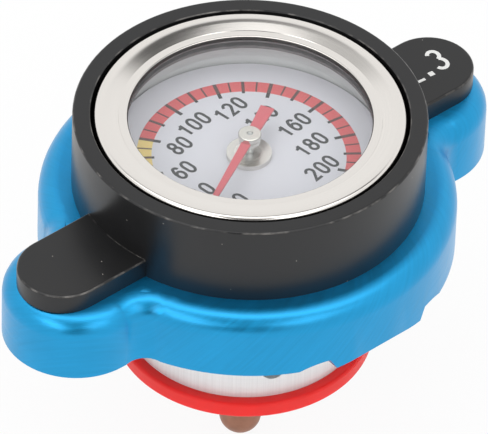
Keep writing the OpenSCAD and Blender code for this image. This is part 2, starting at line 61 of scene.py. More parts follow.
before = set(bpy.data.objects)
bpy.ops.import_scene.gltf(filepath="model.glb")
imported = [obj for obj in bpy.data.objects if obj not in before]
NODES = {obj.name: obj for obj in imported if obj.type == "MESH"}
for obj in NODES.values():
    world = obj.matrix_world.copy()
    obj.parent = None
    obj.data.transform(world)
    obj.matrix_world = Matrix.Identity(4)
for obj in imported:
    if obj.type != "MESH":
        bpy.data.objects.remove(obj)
CAD_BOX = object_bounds()
MM = 0.001

# Dial: units from line to line, from ten to ten and from figure to figure, and the first figure
LINE_EVERY = 5
TEN_EVERY = 10
FIGURE_EVERY = 20
FIRST_FIGURE = 20
# Figures: width and step to the next one in figure heights, and how far they lie from an even ring
FIGURE_W = 0.38
FIGURE_ADVANCE = 0.65
FIGURE_DROP = 0.3 * MM
FIGURE_SHIFT = {100: -0.35 * MM, 120: 0.5 * MM, 140: -0.6 * MM}
# Least slope that a figure's reach is divided by
LEAST_SLOPE = 0.01
# Each further stroke of a figure lies this much higher, so that crossing strokes share no plane
STROKE_STEP = 0.004 * MM

# Rating on the ear: thickness of the collar's ear, how deep the print is set in it, and the print's thickness
EAR_T = 3.2 * MM
PRINT_SINK = 0.01 * MM
PRINT_T = 0.03 * MM
# Its last figure: middle, turn, height and line
RATING_MIDDLE = (37.2 * MM, 0.2 * MM)
RATING_TURN = math.radians(-7)
RATING_H = 4.8 * MM
RATING_LINE = 0.62 * MM
# Its other strokes, in millimetres: the point, then the first figure's stem, foot and flag, each with its width
RATING_STROKES = (
    ([(34.0, -1.6), (34.9, -1.7)], 0.9),
    ([(31.2, -1.7), (31.6, 2.6)], 0.6),
    ([(29.5, -1.65), (32.95, -1.95)], 0.5),
    ([(30.2, 1.6), (31.0, 1.9), (31.5, 2.6)], 0.5),
)

# Pointer: radius under the hub that is painted grey, as painted shade at the hub's foot. Bezel: radius of its cut
# edge
HUB_SHADE_R = 1.62 * MM
CUT_EDGE_R = 18.1 * MM
# How far up a level face looks at least, and a rounded edge with its spread, where 1 is straight up
LEVEL_FACING = 0.9
EDGE_FACING = (0.6, 0.3)
# Collar: half the width of the worn line along its foot
FOOT_W = 0.12 * MM
# Shell: middle of a root's blend, slope of the ear's side there, and how far from the middle and how squarely
# towards it a wall is shaded as one with the blend
ROOT_MIDDLE = Vector((32.07, 15.34, 0)) * MM
ROOT_SLOPE = 0.445
ROOT_REACH = 8.5 * MM
ROOT_FACING = 0.2
# Points of a solid closer than this are shaded as one
WELD_REACH = 0.001 * MM

# Camera: the point it looks at, right of the axis and above the origin, and its sensor in millimetres
AIM_RIGHT = -0.434 * MM
AIM_UP = -3.208 * MM
SENSOR_W = 36
# Floor: radius, sides, and how much of it is plain white to the camera and in reflections
FLOOR_R = 6.0
FLOOR_SIDES = 96
FLOOR_PLAIN = 0.9
# Tent: light of the near and the far side, and the heights, depths and widths over which its seam and gap fade.
# A depth runs from -1 behind the camera to 1 beyond the cap, a width from -1 at the left to 1 at the right.
NEAR_FAR = (1.25, 0.75)
SEAM_HEIGHT, SEAM_DEPTH, SEAM_WIDTH = (0.72, 0.8), (0.0, 0.2), (-0.25, 0.15)
GAP_HEIGHT, GAP_DEPTH, GAP_WIDTH = (0.8, 0.94), (-0.3, 0.0), (0.2, 0.32)
# Lamps: metres right of the cap, towards the camera and above, then width and depth
SOFTBOXES = {
    "key": ((0, -0.03, 0.85), (1.3, 0.63)),
    "left": ((-0.43, 0.66, 0.53), (0.4, 0.7)),
    "right": ((0.41, 0.63, 0.58), (0.4, 0.5)),
}
# Bounced light: its distance on the camera's side, and its width and depth
BOUNCE_REACH = 0.9
BOUNCE_SIZE = (0.6, 0.6)


def colour(code):
    """Linear red, green and blue of an sRGB hex code."""
    values = [int(code[i:i + 2], 16) / 255 for i in (1, 3, 5)]
    return tuple(v / 12.92 if v <= 0.04045 else ((v + 0.055) / 1.055) ** 2.4 for v in values)


def paint(name, code, text):
    """Colour property with a hex default."""
    return FloatVectorProperty(name=name, description=text, subtype="COLOR", size=3, min=0, max=1,
                               default=colour(code))


def length(name, value_mm, text):
    """Length property with a default in millimetres."""
    return FloatProperty(name=name, description=text, unit="LENGTH", precision=5, min=0, default=value_mm * MM)


def angle(name, degrees, text):
    """Angle property with a default in degrees."""
    return FloatProperty(name=name, description=text, subtype="ANGLE", default=math.radians(degrees))


def light(name, share, text):
    """Light of a part of the tent, where 1 is plain white."""
    return FloatProperty(name=name, description=text, subtype="FACTOR", min=0, soft_max=1, default=share)


def power(name, watts, text):
    """Power property of a lamp."""
    return FloatProperty(name=name, description=text, unit="POWER", min=0, default=watts)


class CapColours(bpy.types.PropertyGroup):
    """Colours of the cap's visible finishes."""
    shell: paint("Shell", "#1e9bd3", "Dyed blue of the shell")
    collar: paint("Collar", "#151516", "Black of the gauge collar")
    bezel: paint("Bezel", "#e9e5e0", "Polished bezel")
    dial: paint("Dial", "#dad9e0", "Pale face of the dial")
    ink: paint("Dial ink", "#2c2f32", "Dark print on the dial")
    hot: paint("Hot band", "#de6467", "Red band of the scale")
    warm: paint("Warm band", "#f1d686", "Amber band of the scale")
    pointer: paint("Pointer", "#cd5f68", "Enamel of the pointer")
    cup: paint("Valve cup", "#eaeded", "Satin metal of the valve cup")
    seal: paint("Red seal", "#e3201c", "Silicone of the lower seal")
    probe: paint("Probe", "#a97c68", "Copper of the probe")


class DialSizes(bpy.types.PropertyGroup):
    """Sizes of the printed scale."""
    low: IntProperty(name="Lowest value", description="First value of the scale", default=0)
    high: IntProperty(name="Highest value", description="Last value of the scale", default=200)
    hot: IntProperty(name="Hot", description="Value where the red band starts", default=80)
    warm: IntProperty(name="Warm", description="Value where the amber band starts", default=60)
    middle: FloatProperty(name="Upright", description="Scale value at the dial's upper side", default=100)
    up: angle("Up", 97.9, "Direction of the dial's upper side")
    step: angle("Step", 1.5, "Angle of one unit of the scale")
    band_in: length("Band inside", 14.35, "Inner radius of the coloured bands")
    band_out: length("Band outside", 16.55, "Outer radius of the coloured bands")
    main_in: length("Main lines", 13.3, "Inner radius of the lines at the figures")
    ten_in: length("Tens", 13.95, "Inner radius of the lines at the other tens")
    main_w: length("Main line", 0.55, "Width of a line at a figure")
    ten_w: length("Ten line", 0.46, "Width of a line at another ten")
    five_w: length("Five line", 0.26, "Width of a line at a five")
    figure_out: length("Figures", 12.4, "Radius that the figures reach")
    figure_h: length("Figure height", 3.0, "Height of a figure")
    line: length("Figure line", 0.46, "Width of a figure's line")
    ink_t: length("Ink", 0.02, "Thickness of the print")


class StageSizes(bpy.types.PropertyGroup):
    """Camera and light."""
    turn: angle("Turn", -41.78, "Camera's direction round the cap")
    tilt: angle("Tilt", 41.96, "Camera's height above the horizon")
    roll: angle("Roll", 1.974, "Camera's roll")
    reach: FloatProperty(name="Distance", description="Camera's distance", unit="LENGTH", default=1.1432)
    lens: FloatProperty(name="Lens", description="Focal length", unit="CAMERA", default=569.3)
    low_light: light("Low light", 0.95, "Light from the horizon all round")
    high_light: light("High light", 0.82, "Light from above, all round")
    gap: light("Gap", 0.2, "Light of the tent's gap behind the camera")
    seam: light("Seam", 0.1, "Light of the tent's seam beyond the softbox")
    seam_left: light("Seam's left", 0.6, "Light of that seam towards the left")
    key: power("Key", 2.95, "Power of the softbox overhead")
    left: power("Left", 1.35, "Power of the softbox left of the camera")
    right: power("Right", 0.75, "Power of the softbox right of the camera")
    front: power("Front", 1.6, "Power of the bounced light beside the camera")


def feed(tree, node, inputs):
    """Fills a node's inputs by number or name; a node or a socket is linked, any other value is set."""
    for key, value in inputs.items():
        if isinstance(value, bpy.types.Node):
            value = next(socket for socket in value.outputs if socket.enabled)
        if isinstance(value, bpy.types.NodeSocket):
            tree.links.new(value, node.inputs[key])
        else:
            node.inputs[key].default_value = value


def add(tree, kind, *values, inputs=None, **settings):
    """Adds a node with its settings and links; values go to its inputs in order, and others by number or name."""
    node = tree.nodes.new("ShaderNode" + kind)
    for key, value in settings.items():
        setattr(node, key, value)
    feed(tree, node, {**dict(enumerate(values)), **(inputs or {})})
    return node


def finish(name, **constants):
    """New material with one principled shader; returns it, its tree, the shader and the place in metres."""
    material = bpy.data.materials.new(name)
    material.use_nodes = True
    tree = material.node_tree
    tree.nodes.clear()
    shader = add(tree, "BsdfPrincipled", inputs={key.replace("_", " "): value for key, value in constants.items()})
    add(tree, "OutputMaterial", shader)
    return material, tree, shader, add(tree, "TexCoord").outputs["Object"]


def shade(base, factor=1.0):
    """A colour made darker or paler, with its alpha."""
    return (*[min(1, c * factor) for c in base], 1)


def tone(tree, value, base, dark, pale):
    """Colour that goes from a darker to a paler shade of the base with a value from 0 to 1."""
    return add(tree, "Mix", inputs={0: value, 6: shade(base, dark), 7: shade(base, pale)}, data_type="RGBA")


def grain(tree, place, size_mm, detail=2.0):
    """Noise whose features are as large as the three sizes, in millimetres along X, Y and Z."""
    # Brush marks, rings and draw lines are about 0.05 mm apart in fact. That is too fine to show, so the
    # finishes below ask for marks of 0.1 mm and more.
    scaled = add(tree, "VectorMath", place, Vector(size_mm) * MM, operation="DIVIDE")
    return add(tree, "TexNoise", inputs={"Vector": scaled, "Scale": 1.0, "Detail": detail})


def axis_distance(tree, place):
    """Distance of a place from the cap's axis."""
    level = add(tree, "VectorMath", place, (1, 1, 0), operation="MULTIPLY")
    return add(tree, "VectorMath", level, operation="LENGTH")


def round_place(tree, place, radius_mm):
    """Place unrolled round the axis: distance round at a radius, distance from the axis, and height, in metres."""
    x, y, z = add(tree, "SeparateXYZ", place).outputs
    turn = add(tree, "Math", y, x, operation="ARCTAN2")
    along = add(tree, "Math", turn, radius_mm * MM, operation="MULTIPLY")
    return add(tree, "CombineXYZ", along, axis_distance(tree, place), z)


def facing_up(tree):
    """How far the surface faces up, from -1 to 1."""
    return add(tree, "SeparateXYZ", add(tree, "NewGeometry").outputs["Normal"]).outputs["Z"]


def relief(tree, shader, height, depth_mm, strength=1.0, normal=None):
    """Bump of a real depth from a height that runs from 0 to 1."""
    bump = add(tree, "Bump", inputs={"Height": height, "Strength": strength, "Distance": depth_mm * MM})
    if normal:
        feed(tree, bump, {"Normal": normal})
    feed(tree, shader, {"Normal": bump})


def show(tree, mixed):
    """Puts mixed shaders on a material in place of its principled shader alone."""
    feed(tree, tree.get_output_node("ALL"), {"Surface": mixed})


def find(name):
    """CAD node or piece of that name."""
    return NODES.get(name) or bpy.data.objects[name]


def dress(material, *names):
    """Gives a finish to CAD nodes or pieces by name."""
    for name in names:
        materials = find(name).data.materials
        materials.clear()
        materials.append(material)


def smooth(degrees, *names):
    """Lets the shading run smoothly over edges up to an angle; the solids stay as they are."""
    for name in names:
        modifiers = find(name).modifiers
        modifiers.new("weld", "WELD").merge_threshold = WELD_REACH
        edges = modifiers.new("edges", "EDGE_SPLIT")
        edges.split_angle = math.radians(degrees)
        edges.use_edge_sharp = False
        modifiers.new("shading", "WEIGHTED_NORMAL").keep_sharp = False


def root_normal(tree, place):
    """Shading normal of the shell, turned towards one middle in each root so that blends run into the walls."""
    normal = add(tree, "NewGeometry").outputs["Normal"]
    level = (1, 1, 0)
    mirrored = add(tree, "VectorMath", place, operation="ABSOLUTE")
    gap = add(tree, "VectorMath", ROOT_MIDDLE, mirrored, operation="SUBTRACT")
    way = add(tree, "VectorMath", gap, level, operation="MULTIPLY")
    quarter = add(tree, "VectorMath", place, operation="SIGN")
    unit = add(tree, "VectorMath", way, operation="NORMALIZE")
    aimed = add(tree, "VectorMath", unit, quarter, operation="MULTIPLY")
    sidelong = add(tree, "VectorMath", normal, level, operation="MULTIPLY")
    share = add(tree, "VectorMath", sidelong, operation="LENGTH")
    rise = add(tree, "VectorMath", normal, (0, 0, 1), operation="MULTIPLY")
    turned = add(tree, "VectorMath", aimed, share, rise, operation="MULTIPLY_ADD")
    tests = (
        ("GREATER_THAN", add(tree, "VectorMath", way, (1, 0, 0), operation="DOT_PRODUCT"), 0.0),
        ("GREATER_THAN", add(tree, "VectorMath", way, (-ROOT_SLOPE, 1, 0), operation="DOT_PRODUCT"), 0.0),
        ("LESS_THAN", add(tree, "VectorMath", way, operation="LENGTH"), ROOT_REACH),
        ("GREATER_THAN", add(tree, "VectorMath", normal, aimed, operation="DOT_PRODUCT"), ROOT_FACING),
    )
    inside = 1.0
    for operation, value, limit in tests:
        test = add(tree, "Math", value, limit, operation=operation)
        inside = add(tree, "Math", inside, test, operation="MULTIPLY")
    return add(tree, "Mix", inputs={0: inside, 4: normal, 5: turned}, data_type="VECTOR")


def anodised_shell(base):
    """Dyed, brushed and anodised aluminium: the eye sees metal tinted blue, a soft sheen and fine brush marks."""
    material, tree, shader, place = finish(
        "anodised_aluminium_blue", Metallic=1.0, Coat_Weight=0.25, Coat_IOR=1.6, Coat_Roughness=0.25,
        Anisotropic=0.3)
    unrolled = round_place(tree, place, 31)
    lines = grain(tree, unrolled, (9, 2.5, 0.16))
    # Coarser strokes run down the walls and aslant over the rounded edge and the top
    along, out, up = add(tree, "SeparateXYZ", unrolled).outputs
    depth = add(tree, "Math", out, up, operation="SUBTRACT")
    slant = add(tree, "Math", depth, 0.8, along, operation="MULTIPLY_ADD")
    strokes = grain(tree, add(tree, "CombineXYZ", slant, out, up), (0.5, 6, 6), 3.0)
    cloud = grain(tree, place, (9, 9, 9))
    both = add(tree, "Math", lines, strokes, operation="MULTIPLY")
    marked = add(tree, "Math", strokes, 0.6, operation="MULTIPLY")
    shades = add(tree, "Math", cloud, 0.4, marked, operation="MULTIPLY_ADD")
    sheen = add(tree, "MapRange", both, 0.1, 0.45, 0.28, 0.42)
    dull = add(tree, "MapRange", facing_up(tree), LEVEL_FACING, 1.0, 0.0, 0.2)
    feed(tree, shader, {"Base Color": tone(tree, shades, base, 0.78, 1.18),
                        "Roughness": add(tree, "Math", sheen, dull, operation="ADD")})
    relief(tree, shader, both, 0.02, 0.8, root_normal(tree, place))
    return material


def collar_coat(base, reach):
    """Black anodised and sealed aluminium: deep satin black, soft reflections, specks of dust, and pale edges that
    are partly wear and partly a painted highlight.
    """
    material, tree, shader, place = finish("anodised_aluminium_black", IOR=1.49)
    cloud = grain(tree, place, (6, 6, 6), 3.0)
    tooth = grain(tree, place, (0.22, 0.22, 0.22))
    scaled = add(tree, "VectorMath", place, Vector((3, 3, 3)) * MM, operation="DIVIDE")
    cells = add(tree, "TexVoronoi", inputs={"Vector": scaled, "Scale": 1.0})
    speck = add(tree, "MapRange", cells, 0.018, 0.032, 1.0, 0.0)
    black = tone(tree, cloud, base, 0.8, 1.25)
    dusty = add(tree, "Mix", inputs={0: speck, 6: black, 7: shade(colour("#a8a39c"))}, data_type="RGBA")
    up = facing_up(tree)
    # The rounded edges that face up at a slant are painted pale, partly as wear and partly as a painted highlight;
    # the pale line along the foot is wear
    rounded = add(tree, "Math", up, *EDGE_FACING, operation="COMPARE")
    foot = add(tree, "Math", axis_distance(tree, place), reach, FOOT_W, operation="COMPARE")
    level = add(tree, "Math", up, LEVEL_FACING, operation="GREATER_THAN")
    corner = add(tree, "Math", foot, level, operation="MULTIPLY")
    edges = add(tree, "Math", rounded, corner, operation="MAXIMUM")
    patchy = add(tree, "MapRange", grain(tree, place, (2.2, 2.2, 2.2), 6.0), 0.46, 0.72, 0.0, 1.0)
    # Noise breaks the pale edges into patches of wear and painted highlight
    bare_and_painted_light = add(tree, "Math", edges, patchy, operation="MULTIPLY")
    marked = add(tree, "Mix", inputs={0: bare_and_painted_light, 6: dusty, 7: shade(colour("#6b6865"))}, data_type="RGBA")
    feed(tree, shader, {"Base Color": marked, "Roughness": add(tree, "MapRange", cloud, 0, 1, 0.26, 0.36)})
    relief(tree, shader, tooth, 0.003, 0.4)
    return material


def polished_steel(base):
    """Spun and polished stainless steel: a bright mirror with fine rings, and a dull cut edge inside."""
    material, tree, shader, place = finish("stainless_steel_polished", Metallic=1.0)
    rings = grain(tree, round_place(tree, place, 20), (40, 0.14, 0.14))
    cut = add(tree, "Math", axis_distance(tree, place), CUT_EDGE_R, operation="LESS_THAN")
    polish = add(tree, "MapRange", rings, 0, 1, 0.1, 0.2)
    bright = tone(tree, rings, base, 0.93, 1.02)
    feed(tree, shader, {
        "Base Color": add(tree, "Mix", inputs={0: cut, 6: bright, 7: shade(colour("#575554"))}, data_type="RGBA"),
        "Roughness": add(tree, "Math", cut, 0.35, polish, operation="MULTIPLY_ADD")})
    relief(tree, shader, rings, 0.002, 0.5)
    return material


def clear_glass():
    """Float glass with a ground edge: clear and lightly mirrored, dull grey at the edge; lamps shine through."""
    material, tree, shader, place = finish("float_glass_clear", IOR=1.45)
    smear = grain(tree, place, (9, 9, 9), 3.0)
    upright = add(tree, "Math", facing_up(tree), operation="ABSOLUTE")
    clear = add(tree, "Math", upright, 0.5, operation="GREATER_THAN")
    ground, flat = shade(colour("#5c5d5d")), shade(colour("#fcfdfd"))
    feed(tree, shader, {"Base Color": add(tree, "Mix", inputs={0: clear, 6: ground, 7: flat}, data_type="RGBA"),
                        "Roughness": add(tree, "MapRange", smear, 0, 1, 0.0, 0.015), "Transmission Weight": clear})
    through = add(tree, "BsdfTransparent", shade(colour("#fbfcfc")))
    path = add(tree, "LightPath").outputs
    lamp = add(tree, "Math", path["Is Shadow Ray"], path["Is Diffuse Ray"], operation="MAXIMUM")
    show(tree, add(tree, "MixShader", lamp, shader, through))
    return material


def moulded_rubber(name, code):
    """Moulded rubber: black or grey, matt and faintly mottled."""
    material, tree, shader, place = finish(name, IOR=1.52)
    cloud = grain(tree, place, (2.5, 2.5, 2.5), 4.0)
    feed(tree, shader, {"Base Color": tone(tree, cloud, colour(code), 0.7, 1.3),
                        "Roughness": add(tree, "MapRange", cloud, 0, 1, 0.5, 0.75)})
    relief(tree, shader, cloud, 0.02, 0.4)
    return material


def drawn_steel(name, code, low=0.24, high=0.42):
    """Drawn or zinc plated sheet: grey metal with lines round the draw and a cloudy plating."""
    material, tree, shader, place = finish(name, Metallic=1.0)
    lines = grain(tree, round_place(tree, place, 20), (14, 3, 0.12))
    cloud = grain(tree, place, (4, 4, 4), 3.0)
    feed(tree, shader, {"Base Color": tone(tree, cloud, colour(code), 0.85, 1.1),
                        "Roughness": add(tree, "MapRange", lines, 0, 1, low, high)})
    relief(tree, shader, lines, 0.006, 0.5)
    return material


def turned_metal(name, code, ring_mm=0.12, low=0.16, high=0.32):
    """Turned and plated metal: fine rings round the axis that draw the light out into a bow."""
    material, tree, shader, place = finish(name, Metallic=1.0, Anisotropic=0.7)
    rings = grain(tree, round_place(tree, place, 3), (30, ring_mm, ring_mm))
    feed(tree, shader, {"Base Color": tone(tree, rings, colour(code), 0.88, 1.06),
                        "Roughness": add(tree, "MapRange", rings, 0, 1, low, high),
                        "Tangent": add(tree, "Tangent", direction_type="RADIAL", axis="Z")})
    relief(tree, shader, rings, 0.004, 0.5)
    return material


def spring_wire(name, code):
    """Drawn spring wire: bright grey steel with lines along the wire and a trace of oil."""
    material, tree, shader, place = finish(name, Metallic=1.0, Coat_Weight=0.2, Coat_Roughness=0.15)
    streaks = grain(tree, round_place(tree, place, 10), (5, 0.1, 0.1))
    cloud = grain(tree, place, (3, 3, 3))
    feed(tree, shader, {"Base Color": tone(tree, cloud, colour(code), 0.8, 1.1),
                        "Roughness": add(tree, "MapRange", streaks, 0, 1, 0.2, 0.4)})
    relief(tree, shader, streaks, 0.004, 0.4)
    return material


def printed_enamel(name, base, rough=0.42):
    """Stoved enamel or printing ink: an even satin colour with a slight orange peel."""
    material, tree, shader, place = finish(name, IOR=1.48)
    cloud = grain(tree, place, (5, 5, 5))
    peel = grain(tree, place, (0.5, 0.5, 0.5))
    feed(tree, shader, {"Base Color": tone(tree, cloud, base, 0.97, 1.02),
                        "Roughness": add(tree, "MapRange", cloud, 0, 1, rough - 0.06, rough + 0.06)})
    relief(tree, shader, peel, 0.002, 0.4)
    return material


def pointer_enamel(base):
    """Red enamel on thin sheet, unpainted underneath: a satin red, with a dull grey middle that is painted shade
    at the hub's foot.
    """
    material, tree, shader, place = finish("enamel_red", IOR=1.48)
    cloud = grain(tree, place, (5, 5, 5))
    # The grey ring at the hub's foot is painted shade; the grey underside is unpainted metal
    hub_foot_shade = add(tree, "Math", axis_distance(tree, place), HUB_SHADE_R, operation="LESS_THAN")
    under = add(tree, "Math", facing_up(tree), -0.5, operation="LESS_THAN")
    bare_and_painted_light = add(tree, "Math", hub_foot_shade, under, operation="MAXIMUM")
    red = tone(tree, cloud, base, 0.97, 1.02)
    feed(tree, shader, {
        "Base Color": add(tree, "Mix", inputs={0: bare_and_painted_light, 6: red, 7: shade(colour("#a39f9a"))}, data_type="RGBA"),
        "Roughness": add(tree, "MapRange", cloud, 0, 1, 0.34, 0.46)})
    return material


def satin_lacquer(name, code):
    """Grey lacquer on drawn sheet: an even pale grey with a soft sheen and faint rings from the draw."""
    material, tree, shader, place = finish(name, IOR=1.48)
    rings = grain(tree, round_place(tree, place, 21), (25, 3, 0.3))
    cloud = grain(tree, place, (5, 5, 5))
    feed(tree, shader, {"Base Color": tone(tree, cloud, colour(code), 0.95, 1.04),
                        "Roughness": add(tree, "MapRange", rings, 0, 1, 0.32, 0.44)})
    relief(tree, shader, rings, 0.003, 0.5)
    return material


def scale_ink(base, band_in):
    """Dark screen ink, part of it under the red band: grey on the dial and brown where the band covers it."""
    material, tree, shader, place = finish("screen_ink_scale", IOR=1.48)
    cloud = grain(tree, place, (0.4, 0.4, 0.4), 3.0)
    covered = add(tree, "Math", axis_distance(tree, place), band_in, operation="GREATER_THAN")
    grey, brown = (tone(tree, cloud, ink, 0.85, 1.15) for ink in (base, colour("#5c4442")))
    feed(tree, shader, {"Base Color": add(tree, "Mix", inputs={0: covered, 6: grey, 7: brown}, data_type="RGBA"),
                        "Roughness": add(tree, "MapRange", cloud, 0, 1, 0.4, 0.55)})
    return material


def satin_cup(base):
    """Turned aluminium wiped upright: pale satin metal with fine upright streaks."""
    material, tree, shader, place = finish("turned_aluminium_satin", Metallic=0.6)
    unrolled = round_place(tree, place, 17.8)
    streaks = grain(tree, unrolled, (0.16, 5, 16), 4.0)
    rings = grain(tree, unrolled, (20, 4, 0.2))
    both = add(tree, "Math", streaks, rings, operation="MULTIPLY")
    feed(tree, shader, {"Base Color": tone(tree, streaks, base, 0.86, 1.1),
                        "Roughness": add(tree, "MapRange", both, 0.1, 0.5, 0.56, 0.76)})
    relief(tree, shader, both, 0.008, 0.4)
    return material


def red_silicone(base):
    """Moulded silicone rubber: saturated red, slightly waxy, with light that scatters under the skin."""
    material, tree, shader, place = finish(
        "silicone_rubber_red", IOR=1.42, Subsurface_Weight=0.7, Subsurface_Scale=0.003,
        Subsurface_Radius=(1.0, 0.2, 0.1))
    cloud = grain(tree, place, (4, 4, 4), 3.0)
    skin = grain(tree, place, (0.35, 0.35, 0.35))
    feed(tree, shader, {"Base Color": tone(tree, cloud, base, 0.93, 1.06),
                        "Roughness": add(tree, "MapRange", skin, 0, 1, 0.36, 0.5)})
    relief(tree, shader, skin, 0.006, 0.5)
    return material


def worn_copper(base):
    """Drawn copper tube, handled and tarnished: brownish pink metal with darker blotches and draw marks."""
    material, tree, shader, place = finish("copper_tube_tarnished", Metallic=1.0)
    blotch = grain(tree, place, (1.6, 1.6, 1.6), 5.0)
    draw = grain(tree, round_place(tree, place, 3.2), (0.25, 2, 12))
    feed(tree, shader, {"Base Color": tone(tree, blotch, base, 0.62, 1.15),
                        "Roughness": add(tree, "MapRange", blotch, 0, 1, 0.34, 0.58)})
    relief(tree, shader, draw, 0.006, 0.4)
    return material


def ribbon(mesh, path, width, low, high, closed=False):
    """Adds a flat strip of ink along a path of points, as a thin closed solid."""
    points = [Vector(p) for p in path]
    count = len(points)
    rails = []
    for i, point in enumerate(points):
        before = points[(i - 1) % count] if closed or i else point
        after = points[(i + 1) % count] if closed or i < count - 1 else point
        back = (point - before).normalized()
        ahead = (after - point).normalized()
        along = (back + ahead).normalized()
        side = Vector((-along.y, along.x))
        # A sharp corner is drawn out to twice the strip's width at most
        bend = max(0.5, along.dot(ahead if ahead.length else back))
        reach = side * (width / 2 / bend)
        rails.append([mesh.verts.new((*(point + way * reach), z))
                      for way, z in ((1, low), (1, high), (-1, high), (-1, low))])
    loops = list(zip(rails, rails[1:])) + ([(rails[-1], rails[0])] if closed else [])
    for one, two in loops:
        for k in range(4):
            mesh.faces.new((one[k], one[(k + 1) % 4], two[(k + 1) % 4], two[k]))
    if not closed:
        mesh.faces.new(rails[0][::-1])
        mesh.faces.new(rails[-1])


def bow(middle, across, up, start, end, steps=16):
    """Points on an oval arc, with its angles in degrees."""
    turns = [math.radians(start + (end - start) * i / steps) for i in range(steps + 1)]
    return [(middle[0] + across * math.cos(t), middle[1] + up * math.sin(t)) for t in turns]


def figure_lines(figure):
    """Centre lines of a narrow figure one unit high, each with whether it is closed."""
    if figure == "0":
        return [(bow((0.19, 0.68), 0.19, 0.32, 0, 180) + bow((0.19, 0.32), 0.19, 0.32, 180, 360), True)]
    if figure == "1":
        flag = [(0.02, 0.76), (0.13, 0.79), (0.2, 0.86), (0.25, 0.97)]
        return [([(0.25, 1.0), (0.25, 0.0)], False), (flag, False)]
    if figure == "2":
        return [(bow((0.19, 0.73), 0.19, 0.27, 170, -28) + [(0.0, 0.0), (0.4, 0.0)], False)]
    if figure == "3":
        return [(bow((0.2, 0.76), 0.18, 0.24, 155, -75), False), (bow((0.2, 0.27), 0.2, 0.27, 72, -155), False)]
    if figure == "4":
        return [([(0.29, 1.0), (0.0, 0.28), (0.42, 0.28)], False), ([(0.3, 0.98), (0.3, 0.0)], False)]
    if figure == "6":
        hook = bow((0.21, 0.74), 0.16, 0.26, 15, 120) + [(0.03, 0.72), (0.0, 0.5), (0.0, 0.32)]
        return [(bow((0.19, 0.31), 0.19, 0.31, 0, 360)[:-1], True), (hook, False)]
    upper, lower = bow((0.19, 0.76), 0.165, 0.24, 0, 360), bow((0.19, 0.27), 0.195, 0.27, 0, 360)
    return [(upper[:-1], True), (lower[:-1], True)]


def number_width(text):
    """Width of a number in figure heights, between the middles of its outer lines."""
    return FIGURE_ADVANCE * (len(text) - 1) + FIGURE_W


def write_number(mesh, text, middle, turn, height, line, low, high):
    """Draws a number round a middle point, turned about the vertical."""
    start = -number_width(text) / 2
    rise = 1 - line / height
    for i, figure in enumerate(text):
        for k, (path, closed) in enumerate(figure_lines(figure)):
            flat = [((start + FIGURE_ADVANCE * i + x) * height, (y - 0.5) * rise * height) for x, y in path]
            turned = [(middle[0] + x * math.cos(turn) - y * math.sin(turn),
                       middle[1] + x * math.sin(turn) + y * math.cos(turn)) for x, y in flat]
            ribbon(mesh, turned, line, low, high + k * STROKE_STEP, closed)


def make_piece(name, mesh, body):
    """Turns a built mesh into a piece that rides on a body."""
    bmesh.ops.recalc_face_normals(mesh, faces=mesh.faces)
    data = bpy.data.meshes.new(name)
    mesh.to_mesh(data)
    mesh.free()
    piece = bpy.data.objects.new(name, data)
    bpy.context.scene.collection.objects.link(piece)
    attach(piece, body)


def shorten(name, body):
    """Puts a copy of a coil spring, riding on a body, in the solid's place and hides the solid."""
    piece = bpy.data.objects.new(name + "_wire", NODES[name].data.copy())
    bpy.context.scene.collection.objects.link(piece)
    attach(piece, body)
    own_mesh(piece)
    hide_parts(name)


class CAP_OT_shell(bpy.types.Operator):
    """Finishes the pressed shell"""
    bl_idname = "cap.shell"
    bl_label = "Shell"

    def execute(self, context):
        dress(anodised_shell(tuple(context.scene.cap_colours.shell)), "cap_shell")
        smooth(35, "cap_shell")
        return {"FINISHED"}


class CAP_OT_collar(bpy.types.Operator):
    """Finishes the gauge collar and its screws, and prints the pressure rating on one ear"""
    bl_idname = "cap.collar"
    bl_label = "Collar"

    def execute(self, context):
        colours = context.scene.cap_colours
        dress(collar_coat(tuple(colours.collar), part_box("gauge_collar")[1].y), "gauge_collar")
        dress(drawn_steel("zinc_plated_screw_steel", "#b9b9b4"), "collar_screws")
        smooth(35, "gauge_collar")
        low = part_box("cap_shell")[1].z + EAR_T - PRINT_SINK
        high = low + PRINT_T
        mesh = bmesh.new()
        write_number(mesh, "3", RATING_MIDDLE, RATING_TURN, RATING_H, RATING_LINE, low, high)
        for i, (path, wide) in enumerate(RATING_STROKES):
            ribbon(mesh, [(x * MM, y * MM) for x, y in path], wide * MM, low, high + i * STROKE_STEP)
        make_piece("rating_print", mesh, "cap")
        dress(printed_enamel("pad_print_white", colour("#e4e4e2"), 0.5), "rating_print")
        return {"FINISHED"}


class CAP_OT_gauge(bpy.types.Operator):
    """Finishes the gauge's case, glass, rubber and bezel"""
    bl_idname = "cap.gauge"
    bl_label = "Gauge case and glass"

    def execute(self, context):
        dress(polished_steel(tuple(context.scene.cap_colours.bezel)), "bezel_ring")
        dress(clear_glass(), "lens")
        dress(moulded_rubber("nitrile_rubber_grey", "#838182"), "lens_gasket")
        dress(satin_lacquer("grey_lacquer_satin", "#d0d1d1"), "gauge_case")
        smooth(20, "bezel_ring")
        return {"FINISHED"}


